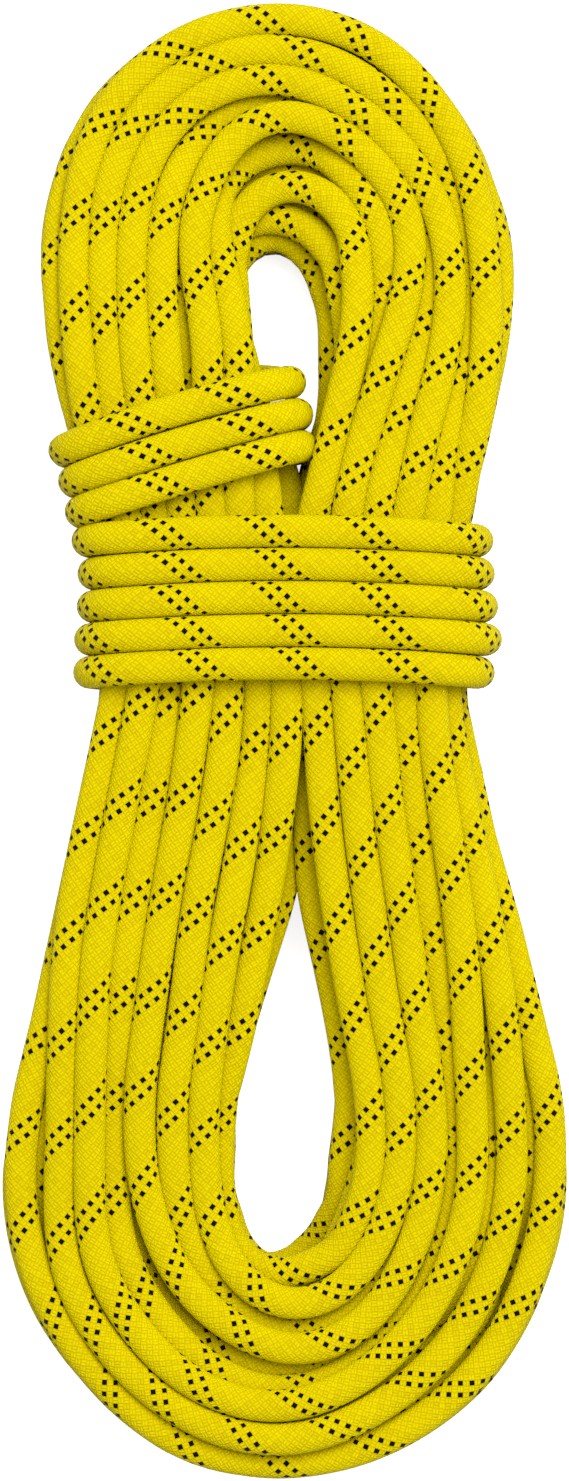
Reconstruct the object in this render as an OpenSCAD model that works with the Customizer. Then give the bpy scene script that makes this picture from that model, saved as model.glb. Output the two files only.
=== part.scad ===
// Dynamic climbing rope, coiled as a hank that lies flat on its back.
// The laps run round an upper and a lower eye. Five wraps hold the waist and
// three slanting wraps hold the left limb beside the upper eye.
// +Y points to the upper eye, +X to the right and +Z to the viewer.

/* [Rope] */
// Diameter over the braided sheath
rope_d = 10; // [8.5:0.1:11]
// Wall of the braided sheath
sheath_t = 1.1; // [0.8:0.1:1.6]
// Slack left between neighbouring stretches of rope
lay_gap = 0.1; // [0.05:0.05:0.4]

/* [Core] */
// Twisted strands in the core's outer ring
ring_strands = 9; // [7:1:12]
// Width of the flat marker tape in the core
tape_w = 3; // [2:0.1:3.2]
// Thickness of the marker tape
tape_t = 0.2; // [0.1:0.05:0.3]

/* [Hank] */
// Number of laps in the hank
laps = 31; // [26:1:36]
// Share of the bundle that stacked laps fill
packing = 0.84; // [0.78:0.01:0.9]
// Overall length of the hank
hank_l = 455; // [420:1:500]
// Width of the bundle inside the waist wraps
waist_w = 107; // [100:1:116]
// Width across the upper loop
upper_w = 145; // [138:1:160]
// Width across the lower loop
lower_w = 173.6; // [160:0.1:190]

/* [Eyes] */
// Width of the upper eye
upper_eye_w = 19.6; // [18:0.1:26]
// Top of the upper eye above the middle of the hank
upper_eye_top = 150; // [142:1:158]
// Width of the lower eye
lower_eye_w = 31; // [20:0.5:40]
// Bottom of the lower eye below the middle of the hank
lower_eye_low = 157; // [148:1:166]

/* [Wraps] */
// Height of the lowest wrap's ends
wrap_low = 21; // [20:0.5:24]
// Bend of the wraps' middle line at the bundle's corners
wrap_bend = 21; // [18:0.5:22]
// Rise of each waist wrap in its middle
wrap_arch = 2.6; // [1:0.1:4]
// Rise of each limb wrap from left to right
limb_rise = 20.4; // [18:0.1:22]

/* [Ends] */
// Straight length at each rope end
end_l = 34; // [28:1:36]
// Length of the shrunk end sleeve
sleeve_l = 24; // [12:1:26]
// Wall of the end sleeve
sleeve_t = 0.5; // [0.2:0.1:0.8]
// Length of the melted tip
tip_l = 3; // [2:0.5:5]

/* [Hidden] */

rope_yellow = [0.94, 0.86, 0.05];
shade_yellow = [0.85, 0.76, 0.04];
core_white = [0.93, 0.93, 0.90];
tape_blue = [0.20, 0.35, 0.65];
sleeve_black = [0.10, 0.10, 0.10];
tip_brown = [0.35, 0.29, 0.05];

waist_wraps = 5;                         // as many as NODES names
limb_wraps = 3;
rope_r = rope_d/2;
bed = rope_r + lay_gap;                  // from a bundle's surface to a wrap's middle
seat = rope_d + lay_gap;                 // height of the bundle above the floor
pitch = rope_d + lay_gap;                // from one wrap to the next

// Bundle: the area of the stacked laps gives its depth at each width
lap_area = rope_d*rope_d*sqrt(3)/2;
function depth(w) = laps*lap_area/(packing*w);
roundness = 2.8;                         // exponent of the bundle's section
half_w = waist_w/2;
waist_t = depth(half_w);
seam_x = 4;                              // where the two limbs meet at the waist

waist_low = 17;                          // the waist's straight length
waist_high = 64;
seat_low = 0;                            // the bundle lies low over the wraps from here
lead_low = -12;                          // and is lifted over the start's end up to here
fork_low = -46;                          // where the lower eye starts
fork_high = 82;                          // where the upper eye starts
upper_cx = -2;                           // middle of the upper loop
upper_cy = 145;
lower_cy = -134;                         // middle of the lower loop's round end
upper_eye_x = -1.2;
upper_eye_y = 132;
lower_eye_x = -0.2;
lower_eye_y = -128;
neck_x = 1.5;                            // left limb's edge where the upper eye starts
neck_w = rope_d + 4*lay_gap;             // gap between the limbs there

// Where the wraps end: the last one leaves at the upper eye
limb_low = wrap_low + pitch*waist_wraps + 3*lay_gap;
finish_y = limb_low + limb_rise + pitch*(limb_wraps - 1);

// The back of the hank: on the floor at both ends, lifted over the runs and wraps
rest_low = -(hank_l/2 + lower_eye_low)/2; // middle of the laps at each end
rest_high = (hank_l/2 + upper_eye_top)/2;
lift = rope_d + 2*sleeve_t + 2*lay_gap;
under = [
    [rest_low + 12, 0], [-70, lift], [lead_low, lift], [seat_low, seat],
    [finish_y - 16, seat], [finish_y - 8, lift], [finish_y + 10, lift], [rest_high - 6, 0]
];
function bottom_z(y) = lookup(y, under);
deepness = [
    [rest_low, depth(hank_l/2 - lower_eye_low)],
    [lower_cy, depth((lower_w - lower_eye_w)/2)],
    [waist_low, waist_t], [waist_high, waist_t],
    [upper_cy, depth((upper_w - upper_eye_w)/2)],
    [rest_high, depth(hank_l/2 - upper_eye_top)]
];
function deep(y) = lookup(y, deepness);
flat_cut = 1.2;                          // how far the bundle's round back is pressed flat

loop_steps = 22;                         // stations round each loop's end
limb_steps = 7;                          // stations along each limb
skin_points = 16;                        // points round the bundle
tube_sides = 12;
turn_steps = 16;                         // rings along half a wrap

// ---- small helpers ----
function mix(a, b, t) = a + (b - a)*t;
function unit(v) = v/norm(v);
function power(v, e) = sign(v)*pow(abs(v), e);

// Faces of a skin over n rings of m points, closed by its first and last ring
function skin_faces(n, m) = concat(
    [[for (j = [0:m - 1]) j]],
    [for (i = [0:n - 2], j = [0:m - 1])
        let (a = i*m + j, b = i*m + (j + 1)%m) each [[a, a + m, b], [b, a + m, b + m]]],
    [[for (j = [m - 1:-1:0]) (n - 1)*m + j]]
);

module skin(rings) {
    polyhedron(points = [for (r = rings) each r], faces = skin_faces(len(rings), len(rings[0])),
        convexity = 6);
}

// ---- bundle of laps ----
// A section between an outer and an inner point of the plan, resting on the floor where it meets it
function section(outer, inner) =
    let (
        y = (outer.y + inner.y)/2,
        low = bottom_z(y),
        half = (deep(y) + flat_cut)/2,
        mid = (outer + inner)/2,
        reach = (outer - inner)/2
    )
    [for (j = [0:skin_points - 1])
        let (
            a = 360*j/skin_points,
            p = mid + reach*power(cos(a), 2/roundness),
            z = low - flat_cut + half + half*power(sin(a), 2/roundness)
        )
        [p.x, p.y, max(z, low)]];

// Plan of half a loop's edge: a straight limb from the fork, then a half ellipse and back
function loop_edge(start, finish, centre, half, reach) = concat(
    [for (i = [0:limb_steps - 1]) mix(start, centre - [half, 0], i/limb_steps)],
    [for (i = [0:loop_steps]) centre + [-half*cos(180*i/loop_steps), reach*sin(180*i/loop_steps)]],
    [for (i = [1:limb_steps]) mix(centre + [half, 0], finish, i/limb_steps)]
);

module loop_laps(outer, inner) {
    skin([for (i = [0:len(outer) - 1]) section(outer[i], inner[i])]);
}

function line_x(a, b, y) = mix(a.x, b.x, (y - a.y)/(b.y - a.y));
upper_side = upper_cx - upper_w/2;
upper_side_right = upper_cx + upper_w/2;
left_fork_high = line_x([-half_w, waist_high], [upper_side, upper_cy], fork_high);
right_fork_high = line_x([half_w, waist_high], [upper_side_right, upper_cy], fork_high);
function low_side(y) = line_x([half_w, waist_low], [lower_w/2, lower_cy], y);

module upper_loop_laps() {
    color(rope_yellow) loop_laps(
        loop_edge([left_fork_high, fork_high], [right_fork_high, fork_high],
            [upper_cx, upper_cy], upper_w/2, hank_l/2 - upper_cy),
        loop_edge([neck_x, fork_high], [neck_x + neck_w, fork_high],
            [upper_eye_x, upper_eye_y], upper_eye_w/2, upper_eye_top - upper_eye_y)
    );
}

module lower_loop_laps() {
    color(rope_yellow) loop_laps(
        loop_edge([low_side(fork_low), fork_low], [-low_side(fork_low), fork_low],
            [0, lower_cy], -lower_w/2, -hank_l/2 - lower_cy),
        loop_edge([seam_x + lay_gap, fork_low], [seam_x - lay_gap, fork_low],
            [lower_eye_x, lower_eye_y], -lower_eye_w/2, -lower_eye_low - lower_eye_y)
    );
}

// One limb between the two forks, side -1 for the left and 1 for the right
module waist_laps(side) {
    inner = seam_x + side*lay_gap;
    fork_x = side < 0 ? left_fork_high : right_fork_high;
    neck = side < 0 ? neck_x : neck_x + neck_w;
    sections = [
        for (y = [fork_low, lead_low, seat_low]) section([side*low_side(y), y], [inner, y]),
        for (y = [waist_low, waist_high]) section([side*half_w, y], [inner, y]),
        section([fork_x, fork_high], [neck, fork_high])
    ];
    skin(side < 0 ? sections : [for (i = [len(sections) - 1:-1:0]) sections[i]]);
}
module left_waist_laps() { color(shade_yellow) waist_laps(-1); }
module right_waist_laps() { color(shade_yellow) waist_laps(1); }

// ---- wraps ----
// Ends of each wrap's front on the bundle's two sides: [x, y, z]
function end_z(y) = seat + deep(y)/2;
wrap_half = half_w + bed;
function waist_end(k, side) =
    let (y = wrap_low + pitch*k) [side*wrap_half, y, end_z(y)];
left_pitch = pitch - 0.2;                // closer at the left, where each wrap stands further out
function limb_left(k) =
    let (y = limb_low + left_pitch*k)
    [line_x([-half_w, waist_high], [upper_side, upper_cy], y) - bed, y, end_z(y)];
function limb_right(k) =
    let (y = limb_low + limb_rise + pitch*k)
    [line_x([neck_x, fork_high], [upper_eye_x - upper_eye_w/2, upper_eye_y], y) + bed, y, end_z(y)];
limb_arch = 0.4;                         // each limb wrap rises a little more than the last

// Half of a rounded rectangle w wide, from its side up to h and down again: [share of w, share of h]
function half_round(w, h, t) =
    t > 0.5 ? let (p = half_round(w, h, 1 - t)) [1 - p.x, p.y]
    : let (
        leg = h - wrap_bend,
        arc = PI/2*wrap_bend,
        s = t*(2*leg + 2*arc + w - 2*wrap_bend),
        a = 90*(s - leg)/arc
    )
    s < leg ? [0, s/h]
    : s < leg + arc ? [wrap_bend*(1 - cos(a))/w, (leg + wrap_bend*sin(a))/h]
    : [(wrap_bend + s - leg - arc)/w, 1];

// Half a wrap from end a to end b, over the front (face 1) or under the back (face -1)
function half_wrap(a, b, face, arch, t) =
    let (
        middle = (a + b)/2,
        far = face > 0 ? seat + deep(min(a.y, b.y)) + bed : rope_r,
        share = half_round(abs(b.x - a.x), abs(far - middle.z), t),
        p = mix(a, b, share.x)
    )
    [p.x, p.y + arch*4*share.x*(1 - share.x), mix(p.z, far, share.y)];

// The wound rope by half wraps: the front of wrap n at 2n and its back at 2n + 1
function front_left(n) = n < waist_wraps ? waist_end(n, -1) : limb_left(n - waist_wraps);
function front_right(n) = n < waist_wraps ? waist_end(n, 1) : limb_right(n - waist_wraps);
function front_arch(n) = n < waist_wraps ? wrap_arch : limb_arch*(n - waist_wraps);
function wound(t) =
    let (h = floor(t), n = floor(h/2))
    h == 2*n ? half_wrap(front_left(n), front_right(n), 1, front_arch(n), t - h)
    : half_wrap(front_right(n), front_left(n + 1), -1, 0, t - h);

// A tube's ring at c, square to the run t
function ring(c, t) =
    let (d = unit(t), up = unit([0, 1, 0] - d.y*d), out = cross(d, up))
    [for (j = [0:tube_sides - 1])
        let (a = 360*j/tube_sides)
        c + rope_r*(cos(a)*up + sin(a)*out)];

tiny = 0.001;
function wound_rings(from, to) =
    let (count = round((to - from)*turn_steps))
    [for (i = [0:count])
        let (t = mix(from, to, i/count))
        ring(wound(t), wound(t + tiny) - wound(t - tiny))];

last_wrap = waist_wraps + limb_wraps - 1;
// Wrap n, whose back is left out at the last waist wrap and the last limb wrap
module wrap(n, last) {
    color(rope_yellow) skin(wound_rings(2*n, n == last ? 2*n + 1 : 2*n + 2));
}
module waist_wrap(n) { if (n <= waist_wraps) wrap(n - 1, waist_wraps - 1); }
module limb_wrap(n) { if (n <= limb_wraps) wrap(waist_wraps + n - 1, last_wrap); }
module crossover() { color(shade_yellow) skin(wound_rings(2*waist_wraps - 1, 2*waist_wraps)); }

// ---- runs at the back, by points chosen by hand ----
end_z0 = rope_r + sleeve_t + lay_gap;    // middle of a rope end on its sleeve
start_tip_at = [46, -22];
start_turn = 190;                        // way from the start's tip into the rope
finish_tip_at = [-63, finish_y];
finish_turn = 0;
function along(tip, turn, l) = [tip.x + l*cos(turn), tip.y + l*sin(turn), end_z0];

dive = rope_r/3;                         // how high a run's middle goes into the laps
start_route = [
    along(start_tip_at, start_turn, end_l), [2, -30, end_z0], [-10, -32, end_z0 + 0.2],
    [-22, -34, end_z0 + 2.4], [-32, -36, end_z0 + 5.2], [-42, -38, lift + dive]
];
lead_route = [
    [44, 11, seat + dive], [34, 12, rope_r + 4.4], [24, 13, rope_r + 1.8], [12, 14.5, rope_r]
];
finish_route = [
    [-1.5, finish_y, 22], [-3.8, finish_y, 15.5], [-9, finish_y, 9.5], [-15.5, finish_y, 6.4],
    [-24, finish_y, end_z0],
    along(finish_tip_at, finish_turn, end_l)
];

// A ring pressed flat where it goes in among the laps
function pressed(points) = [for (p = points) [p.x, p.y, min(p.z, bottom_z(p.y))]];
// Rings along a route; the end rings are square to the ways in and out
function run_rings(route, way_in, way_out) =
    let (n = len(route) - 1)
    [for (i = [0:n]) ring(route[i], i == 0 ? way_in : i == n ? way_out
        : unit(route[i] - route[i - 1]) + unit(route[i + 1] - route[i]))];
function heading(turn) = [cos(turn), sin(turn), 0];
function way_out(route) = route[len(route) - 1] - route[len(route) - 2];

module start_run() {
    rings = run_rings(start_route, heading(start_turn), way_out(start_route));
    color(shade_yellow) skin([for (r = rings) pressed(r)]);
}
module lead_in() {
    rings = run_rings(lead_route, lead_route[1] - lead_route[0], way_out(lead_route));
    color(shade_yellow) skin(concat([for (r = rings) pressed(r)], wound_rings(-0.5, 0)));
}
finish_from = 2*last_wrap + 1;
module finish_run() {
    color(shade_yellow) skin(concat(
        [ring(wound(finish_from), [0, 0, -1])],
        run_rings(finish_route, [0, 0, -1], heading(finish_turn + 180))));
}

// ---- rope ends: a straight length along +Z from the tip ----
bore_r = rope_r - sheath_t;
ring_share = sin(180/ring_strands);
strand_r = (bore_r - lay_gap)*ring_share/(1 + ring_share) - lay_gap/2;
inner_r = bore_r - 2*lay_gap - 2*strand_r - lay_gap;
middle_r = (inner_r - tape_t/2)/2 - lay_gap/2;

module at_end(tip, turn) {
    translate([tip.x, tip.y, end_z0]) rotate([0, 90, turn]) children();
}
module sheath() {
    color(rope_yellow) difference() {
        translate([0, 0, tip_l]) cylinder(h = end_l - tip_l, r = rope_r, $fn = 48);
        translate([0, 0, tip_l - 1]) cylinder(h = end_l - tip_l + 2, r = bore_r, $fn = 48);
    }
}
module strand(r) { translate([0, 0, tip_l]) cylinder(h = end_l - tip_l, r = r, $fn = 24); }
module core() {
    color(core_white) {
        for (k = [0:ring_strands - 1]) rotate(360*k/ring_strands)
            translate([bore_r - lay_gap - strand_r, 0, 0]) strand(strand_r);
        for (side = [-1, 1]) translate([0, side*(inner_r - middle_r), 0]) strand(middle_r);
    }
}
module marker_tape() {
    color(tape_blue) translate([-tape_w/2, -tape_t/2, tip_l]) cube([tape_w, tape_t, end_l - tip_l]);
}
module sleeve() {
    color(sleeve_black) difference() {
        translate([0, 0, tip_l + 1]) cylinder(h = sleeve_l, r = rope_r + sleeve_t, $fn = 48);
        translate([0, 0, tip_l]) cylinder(h = sleeve_l + 2, r = rope_r + lay_gap/2, $fn = 48);
    }
}
module tip() {
    color(tip_brown) rotate_extrude($fn = 48) polygon([
        [0, 0], [rope_r - tip_l/3, 0], [rope_r, tip_l/3], [rope_r, tip_l], [0, tip_l]
    ]);
}

upper_loop_laps();
left_waist_laps();
right_waist_laps();
lower_loop_laps();
waist_wrap(1);  // waist_wrap_1
waist_wrap(2);  // waist_wrap_2
waist_wrap(3);  // waist_wrap_3
waist_wrap(4);  // waist_wrap_4
waist_wrap(5);  // waist_wrap_5
limb_wrap(1);  // limb_wrap_1
limb_wrap(2);  // limb_wrap_2
limb_wrap(3);  // limb_wrap_3
start_run();
lead_in();
crossover();
finish_run();
at_end(start_tip_at, start_turn) sheath();  // start_sheath
at_end(start_tip_at, start_turn) core();  // start_core
at_end(start_tip_at, start_turn) marker_tape();  // start_marker_tape
at_end(start_tip_at, start_turn) sleeve();  // start_sleeve
at_end(start_tip_at, start_turn) tip();  // start_tip
at_end(finish_tip_at, finish_turn) sheath();  // finish_sheath
at_end(finish_tip_at, finish_turn) core();  // finish_core
at_end(finish_tip_at, finish_turn) marker_tape();  // finish_marker_tape
at_end(finish_tip_at, finish_turn) sleeve();  // finish_sleeve
at_end(finish_tip_at, finish_turn) tip();  // finish_tip
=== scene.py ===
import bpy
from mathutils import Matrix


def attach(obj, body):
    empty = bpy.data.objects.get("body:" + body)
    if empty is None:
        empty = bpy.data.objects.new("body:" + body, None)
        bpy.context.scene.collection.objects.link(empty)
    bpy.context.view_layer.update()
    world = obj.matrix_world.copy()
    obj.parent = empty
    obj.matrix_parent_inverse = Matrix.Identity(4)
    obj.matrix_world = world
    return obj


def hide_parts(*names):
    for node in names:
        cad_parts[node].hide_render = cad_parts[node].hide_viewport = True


bl_info = {
    "name": "Climbing Rope Hank",
    "version": (1, 0, 0),
    "blender": (4, 5, 0),
    "location": "View3D > Sidebar > Rope Hank",
    "description": "Lays a dynamic climbing rope as a wrapped hank and gives it its braided sheath",
    "category": "Add Mesh",
}

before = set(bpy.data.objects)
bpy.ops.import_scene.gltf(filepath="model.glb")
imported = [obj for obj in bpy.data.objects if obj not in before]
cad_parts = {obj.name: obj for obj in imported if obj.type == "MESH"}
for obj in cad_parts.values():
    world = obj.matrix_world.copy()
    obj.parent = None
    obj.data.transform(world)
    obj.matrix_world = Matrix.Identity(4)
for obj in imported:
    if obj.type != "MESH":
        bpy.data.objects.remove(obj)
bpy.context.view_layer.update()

import math

import bpy
import numpy as np
from mathutils import Vector
from mathutils.bvhtree import BVHTree

# ---------------------------------------------------------------------------
# Image points, in the photograph's 569 x 1481 frame. An edge has one number.
# A feature is an edge of the rope, met along the given way across the image.
# ---------------------------------------------------------------------------
FRAME_W, FRAME_H = 569, 1481
FRAME_L = max(FRAME_W, FRAME_H)
FEATURE_POINTS = {
    "upper_eye_top": ((272, 254), (0, -1)),
    "upper_eye_left": ((248, 290), (-1, 0)),
    "upper_eye_right": ((316, 350), (1, 0)),
    "lower_eye_top": ((297, 890), (0, -1)),
    "lower_eye_bottom": ((275, 1252), (0, 1)),
    "lower_eye_left": ((234, 1150), (-1, 0)),
    "lower_eye_right": ((335, 1110), (1, 0)),
    "top_waist_wrap_left": ((73, 533), (1, 0)),
    "top_waist_wrap_right": ((492, 533), (-1, 0)),
    "bottom_waist_wrap_left": ((78, 661), (1, 0)),
    "bottom_waist_wrap_right": ((490, 661), (-1, 0)),
    "top_limb_wrap_left": ((47, 452), (1, 0)),
}

# ---------------------------------------------------------------------------
# The rope's route, in millimetres: x to the right, y to the upper eye, z up
# ---------------------------------------------------------------------------
PER_METRE = 1000.0              # millimetres in a metre
ROPE = 10.0
ROPE_R = ROPE / 2
PRESSED = 9.3                   # between the middles of two turns that press each other flat
TIGHTEST = 19.0                 # the rope's middle line bends no tighter than this radius
LAY_GAP = 0.1                   # between two turns that lie side by side
SEAT = ROPE + LAY_GAP           # the bundle's height over the wraps behind it
BED = ROPE_R + LAY_GAP          # from the bundle's side to a wrap's middle
PITCH = ROPE + LAY_GAP          # from one wrap to the next
TIP_L = 3.0                     # the fused tip, which is the frame's own
END_L = 34.0                    # each end's straight length, tip included
END_POINTS = (TIP_L, 13.0, 23.0, END_L)     # from the tip along that straight length
END_Z = 5.6                     # an end's middle, lying on its sleeve
BORE_R = 3.9                    # inside the sheath, round the core

# Where the strands that show lie at each place round a loop, chosen from
# the photograph. A row's place is a height y across a limb ("y") or an angle about
# the round end's middle ("turn"). Then come the eight strands from the outermost to
# the innermost, the loop's inner edge, and how far each strand lies below the top
# of the pile. The loop's outer edge is the outermost strand's own.
LOWER_MID = (0.0, -134.0)
LOWER_LOOP = [
    ("y", 12, (-52, -52, -44, -36, -27, -17, -7, 1), 7, (14, 5, 1, 4, 0, 0, 5, 0)),
    ("y", -30, (-61, -61, -52, -43, -33, -23, -13, -3), 7.5, (14, 3, 0, 3, 0, 0, 1, 3)),
    ("y", -44, (-64, -64, -54, -45, -36, -26, -15, -5), 6, (13, 3, 0, 2, 0, 0, 0, 6)),
    ("y", -58, (-67, -66, -57, -48, -38, -28, -18, -8), 0.5, (12, 3, 0, 2, 0, 0, 0, 5)),
    ("y", -86, (-73, -68, -59, -51, -42, -31, -22, -13), -8, (9, 3, 0, 3, 0, 0, 0, 5)),
    ("y", -110, (-79, -68, -60, -53, -45, -35, -25, -19), -14.5, (9, 3, 0, 7, 0, 0, 0, 9)),
    ("turn", 180, (82, 69, 60, 52, 44, 34, 25, 21), 15.5, (9, 3, 0, 8, 0, 0, 1, 10)),
    ("turn", 202.5, (83, 74, 64, 56, 43, 35, 26, 21), 16, (8, 3, 0, 6, 0, 2, 0, 10)),
    ("turn", 225, (84, 76, 66, 58, 45, 38, 30, 24), 20.5, (9, 3, 0, 5, 1, 6, 0, 10)),
    ("turn", 247.5, (88, 80, 70, 64, 49, 44, 36, 28), 24.5, (10, 4, 0, 6, 0, 8, 0, 11)),
    ("turn", 270, (89, 82, 72, 68, 55, 50, 42, 32), 25, (12, 4, 0, 8, 0, 9, 0, 12)),
    ("turn", 292.5, (87, 77, 66, 62, 54, 49, 41, 31), 20, (10, 4, 0, 9, 0, 9, 0, 9)),
    ("turn", 315, (85, 73, 61, 57, 48, 44, 37, 28), 16.5, (8, 5, 0, 9, 0, 9, 0, 5)),
    ("turn", 337.5, (82, 70, 58, 54, 45, 41, 35, 27), 13, (8, 4, 0, 8, 0, 9, 0, 3)),
    ("turn", 360, (82, 70, 58, 53, 45, 41, 35, 27), 13, (8, 3, 0, 8, 0, 9, 0, 2)),
    ("y", -110, (81, 69, 57, 51, 45, 41, 36, 27), 15.5, (8, 2, 0, 7, 0, 9, 0, 2)),
    ("y", -86, (75, 67, 56, 49, 41, 36, 31, 22), 12, (9, 2, 0, 7, 0, 9, 0, 2)),
    ("y", -58, (68, 63, 54, 45, 37, 32, 27, 17), 6, (10, 3, 0, 6, 0, 9, 0, 2)),
    ("y", -44, (64, 60, 52, 43, 35, 30, 25, 15), 2, (12, 4, 0, 5, 0, 9, 0, 2)),
    ("y", -30, (60, 57, 50, 41, 33, 29, 23, 13), 1.5, (14, 6, 0, 5, 0, 9, 0, 2)),
    ("y", 12, (51, 48, 44, 36, 29, 25, 20, 10), 3.5, (20, 10, 2, 4, 0, 8, 0, 2)),
]
UPPER_MID = (-2.0, 145.0)
UPPER_LOOP = [
    ("y", 69, (53, 51, 46, 38, 28, 18, 13, 9), 0, (20, 8, 3, 0, 0, 0, 9, 4)),
    ("y", 83, (55, 53, 48, 41, 32, 22, 17, 14), 0, (15, 6, 3, 0, 0, 0, 9, 4)),
    ("y", 99, (59, 57, 51, 44, 36, 26, 21, 16), 9.5, (12, 4, 4, 0, 1, 0, 9, 2)),
    ("y", 122, (64, 62, 55, 50, 42, 33, 28, 22), 10, (10, 2, 8, 0, 5, 0, 9, 1)),
    ("turn", 0, (68, 64, 58, 53, 48, 41, 35, 25), 6, (9, 2, 8, 0, 8, 0, 6, 1)),
    ("turn", 22.5, (67, 65, 58, 53, 48, 44, 35, 26), 4.5, (9, 2, 7, 1, 8, 0, 1, 3)),
    ("turn", 45, (70, 70, 61, 53, 49, 45, 37, 27), 4, (10, 3, 3, 1, 9, 0, 2, 5)),
    ("turn", 67.5, (75, 76, 65, 56, 51, 47, 38, 30), 5.5, (11, 3, 1, 0, 11, 0, 12, 8)),
    ("turn", 90, (78, 78, 68, 61, 54, 50, 41, 34), 6, (11, 3, 1, 1, 12, 0, 17, 9)),
    ("turn", 112.5, (76, 76, 68, 60, 50, 43, 37, 31), 7, (11, 3, 1, 0, 9, 0, 16, 9)),
    ("turn", 135, (74, 73, 64, 55, 44, 33, 27, 20), 6.5, (10, 3, 1, 0, 2, 0, 11, 17)),
    ("turn", 157.5, (70, 66, 58, 49, 39, 29, 20, 13), 8, (8, 3, 1, 0, 0, 0, 6, 11)),
    ("turn", 180, (68, 62, 54, 46, 37, 26, 17, 13), 9.5, (8, 3, 1, 0, 0, 0, 5, 12)),
    ("y", 122, (-68, -63, -55, -47, -37, -23, -14, -13), -9.5, (8, 2, 2, 0, 0, 0, 2, 12)),
    ("y", 99, (-63, -59, -53, -45, -35, -24, -14, -10), -3, (9, 2, 3, 0, 0, 0, 0, 10)),
    ("y", 83, (-59, -57, -51, -43, -34, -25, -15, -7), 9, (12, 4, 3, 1, 0, 0, 0, 4)),
    ("y", 69, (-55, -53, -48, -41, -32, -23, -14, -5), 8, (14, 5, 2, 2, 0, 1, 0, 3)),
]
FRONT = 8                       # strands that show, side by side
ROWS = 5                        # of strands in the pile, the front one included

# The pile's underside and depth, as (y, height): on the floor at both ends, and
# lifted over the rope's runs and wraps at the back.
UNDERSIDE = (
    (-180, 0), (-70, 11.2), (-12, 11.2), (0, 10.1), (96, 10.1), (104, 11.2), (122, 11.2), (183, 0),
)
DEPTH = ((-215, 48), (-134, 46), (-40, 52), (17, 59.7), (64, 59.7), (145, 52), (200, 48))

# The strands behind those eight lie in rows: row, strands, first and last place
# across the pile from its outer edge (0) to its inner edge (1).
LIMB_ROWS = ((2, 5, 0.10, 0.86), (3, 6, 0.0, 1.0), (4, 6, 0.03, 0.97), (5, 6, 0.07, 0.95))
LOWER_ROWS = ((2, 2, 0.18, 0.46), (3, 6, 0.0, 0.86), (4, 7, 0.0, 0.97), (5, 8, 0.0, 1.0))
UPPER_ROWS = ((2, 2, 0.11, 0.27), (3, 6, 0.0, 0.86), (4, 7, 0.0, 0.97), (5, 8, 0.0, 1.0))
# The laps in the order they are laid, as (row, place); row 1 is the front.
LAP_ORDER = (
    (5, 1), (5, 2), (5, 3), (5, 4), (5, 5), (4, 5), (3, 5), (2, 4), (1, 7), (1, 6),
    (2, 3), (3, 4), (4, 4), (4, 3), (3, 3), (1, 5), (1, 4), (2, 2), (3, 2), (4, 2),
    (4, 1), (3, 1), (2, 1), (1, 3), (1, 2), (1, 1), (2, 0), (1, 0), (3, 0), (4, 0), (5, 0),
)
LAPS = len(LAP_ORDER)
FIRST_ROW = 3                   # the first lap starts at this row of the lower loop

# The two ends' runs at the back, as in the frame's own source
START_RUN = (
    (2, -30, 5.6), (-10, -32, 5.8), (-22, -34, 8.0), (-32, -36, 10.8), (-42, -39, 13.6),
)
START_RISE = ((-52, -45, 15.5), (-60, -57, 16.5))
LEAD_IN = (
    (57, -15, 16.2), (54, -3, 15.6), (49, 6, 14.6), (42, 11, 12.8),
    (33, 12.5, 9.6), (24, 13.5, 6.8), (12, 14.5, 5.0),
)
START_TIP = (46.0, -22.0)
START_TURN = 190.0              # the way the start's end points, in degrees
FINISH_RUN = (
    (-1.5, 110.5, 22.0), (-3.8, 111.0, 15.5), (-9.0, 111.6, 9.5), (-15.5, 112.1, 6.4), (-24.0, 112.4, 5.6),
)
FINISH_TIP = (-63.0, 112.4)

# The wraps: five round the waist, then three that climb round the left limb
WAIST_WRAPS = 5
LIMB_WRAPS = 3
WAIST_HALF = 53.5
WAIST_DEPTH = 59.77
# the bundle's depth under the wraps, as (y, depth)
WRAP_DEPTH = ((-134, 44.84), (17, WAIST_DEPTH), (64, WAIST_DEPTH), (145, 51.0))
LIMB_SIDE = ((-WAIST_HALF, 64), (-74.5, 145))   # the left limb's outer side, as two (x, y)
LIMB_INSIDE = ((1.5, 82), (-11.0, 132))     # its side towards the upper eye
WRAP_LOW = 21.0                 # the first wrap's height
# How far each wrap stands out past the bundle's left and right sides. The lead-in
# counts as wrap -1, so at its right it stands out like the last one.
WRAP_OUT = (
    (1.3, 1.0, 0.2, 0.0, 1.8, 2.2, 1.8, 2.4),
    (0.8, 3.0, 1.8, 0.8, 0.4, 0.6, 1.6, 1.9),
)
WRAP_BEND = 21.0                # the wraps' bend round the bundle's edges
WRAP_ARCH = 2.6                 # a waist wrap's rise in the middle of the front
LIMB_ARCH = 0.5                 # the first limb wrap's, and as much more for each next one
WRAP_STEPS = 16                 # points on each half turn of a wrap
LIMB_LOW = 70.3                 # the first limb wrap's height at its left
LIMB_RISE = 20.0                # a limb wrap's rise from left to right
LIMB_PITCH = (9.4, 9.85)        # from one limb wrap to the next, at the left and at the right
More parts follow.
